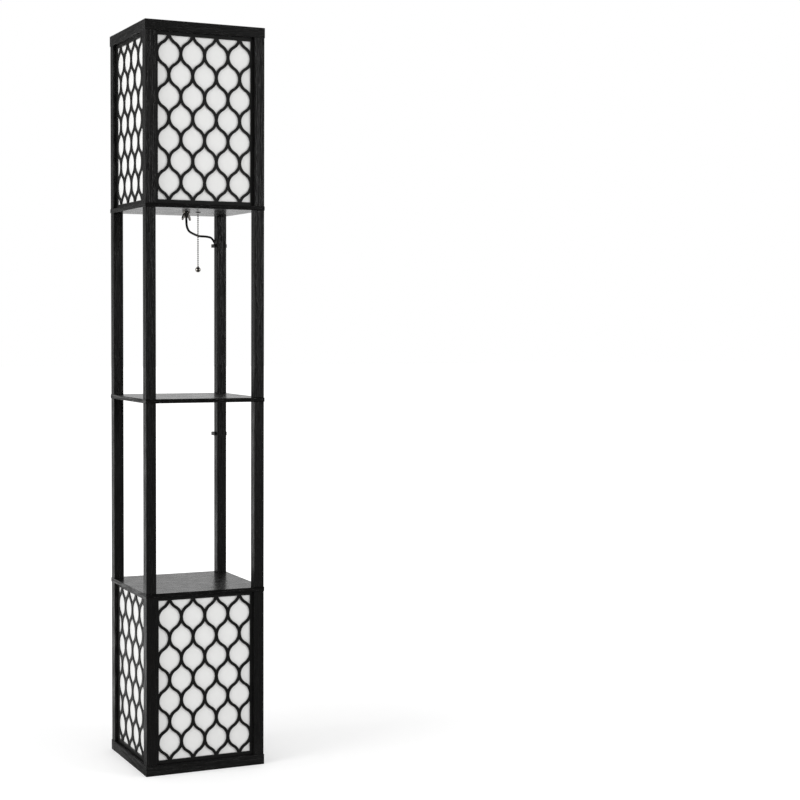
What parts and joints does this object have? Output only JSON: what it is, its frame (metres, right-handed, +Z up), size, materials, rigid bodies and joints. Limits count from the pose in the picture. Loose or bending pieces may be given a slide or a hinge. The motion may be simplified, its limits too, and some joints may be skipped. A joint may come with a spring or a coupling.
{
  "type": "shelf floor lamp",
  "caption": "Tall square floor lamp: dark wood posts, two open shelf bays, a latticed lantern at head and foot, pull chain and foot switch.",
  "frame": {"origin": "centre of the footprint, on the floor", "axes": "+Z up, -Y towards the front; the lead runs down behind the back right post, at +X +Y"},
  "size_m": [0.2702, 0.3875, 1.6],
  "materials": {
    "black_wood": "satin",
    "lattice": "satin",
    "diffuser": "matte",
    "steel": "zinc plated",
    "nickel": "polished",
    "black_plastic": "satin",
    "holder": "gloss",
    "bulb": "frosted",
    "cord_rubber": "matte",
    "switch_button": "satin"
  },
  "bodies": {
    "frame": {"base_lead": "cord_rubber", "bottom_board": "black_wood", "bottom_board_screws": "steel", "bottom_rail_back": "black_wood", "bottom_rail_front": "black_wood", "bottom_rail_left": "black_wood", "bottom_rail_right": "black_wood", "chain_bushing": "black_plastic", "cord_clips": "black_plastic", "cord_grip": "black_plastic", "foot_switch_case": "black_plastic", "frame_screws": "steel", "holder_tube": "steel", "lead_coil": "cord_rubber", "lower_bay_post_back_left": "black_wood", "lower_bay_post_back_right": "black_wood", "lower_bay_post_front_left": "black_wood", "lower_bay_post_front_right": "black_wood", "lower_bulb": "bulb", "lower_diffusers": "diffuser", "lower_lamp_holder": "holder", "lower_lantern_post_back_left": "black_wood", "lower_lantern_post_back_right": "black_wood", "lower_lantern_post_front_left": "black_wood", "lower_lantern_post_front_right": "black_wood", "lower_lantern_top": "black_wood", "lower_lattice_back": "lattice", "lower_lattice_front": "lattice", "lower_lattice_left": "lattice", "lower_lattice_right": "lattice", "mains_lead": "cord_rubber", "middle_shelf": "black_wood", "plug": "black_plastic", "post_studs": "steel", "top_rail_back": "black_wood", "top_rail_front": "black_wood", "top_rail_left": "black_wood", "top_rail_right": "black_wood", "upper_bay_post_back_left": "black_wood", "upper_bay_post_back_right": "black_wood", "upper_bay_post_front_left": "black_wood", "upper_bay_post_front_right": "black_wood", "upper_bulb": "bulb", "upper_diffusers": "diffuser", "upper_lamp_holder": "holder", "upper_lantern_floor": "black_wood", "upper_lantern_post_back_left": "black_wood", "upper_lantern_post_back_right": "black_wood", "upper_lantern_post_front_left": "black_wood", "upper_lantern_post_front_right": "black_wood", "upper_lattice_back": "lattice", "upper_lattice_front": "lattice", "upper_lattice_left": "lattice", "upper_lattice_right": "lattice", "upper_lead": "cord_rubber", "wing_nut": "nickel"},
    "switch_chain": {"switch_chain": "nickel"},
    "hanging_chain": {"pull_chain": "nickel", "chain_ball": "nickel"},
    "foot_button": {"foot_switch_button": "switch_button"}
  },
  "joints": [
    {"name": "chain_pull", "type": "slide", "parent": "frame", "child": "switch_chain", "axis": [0, 0, -1], "range_m": [0, 0.01], "stiffness_N_per_m": 200, "springref_m": -0.002},
    {"name": "chain_swing", "type": "hinge", "parent": "switch_chain", "child": "hanging_chain", "pos_m": [0.027, 0, 1.206], "axis": [0, 1, 0], "range_deg": [-25, 25]},
    {"name": "foot_switch_press", "type": "slide", "parent": "frame", "child": "foot_button", "axis": [0, 0, -1], "range_m": [0, 0.003], "stiffness_N_per_m": 1500, "springref_m": -0.0005}
  ]
}
